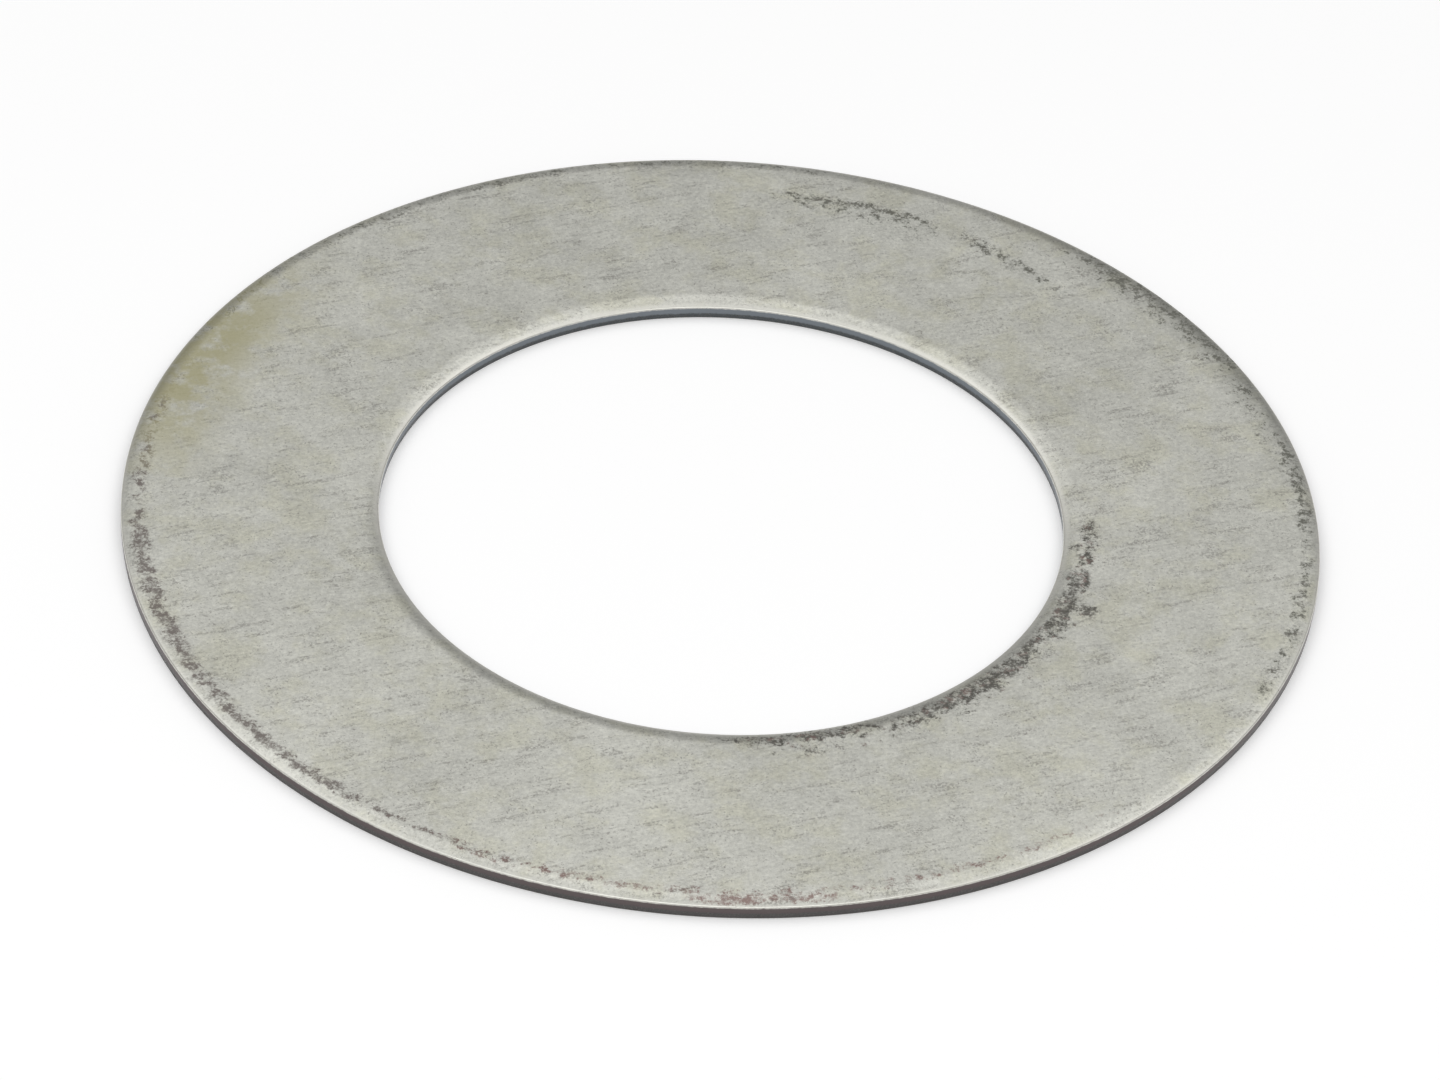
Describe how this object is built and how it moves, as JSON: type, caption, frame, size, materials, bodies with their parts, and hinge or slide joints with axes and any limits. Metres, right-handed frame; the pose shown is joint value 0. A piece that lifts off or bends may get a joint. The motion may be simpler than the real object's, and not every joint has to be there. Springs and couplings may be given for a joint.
{
  "type": "shim ring",
  "caption": "Thin flat steel ring blanked from strip, with a plain round bore and rim, rolled over on one face. Takes up end play on a shaft.",
  "frame": {"origin": "centre of the bore, in the bottom face that the ring lies on", "axes": "+Z along the bore axis, from the flat bottom face to the face with the rolled edges; +X and +Y in the plane of the ring, with no preferred direction"},
  "size_m": [0.07, 0.07, 0.001],
  "materials": {
    "steel": "cold-rolled strip, satin, lightly stained, with darker cut edges"
  },
  "bodies": {
    "root": {"shim_ring": "steel"}
  },
  "joints": []
}
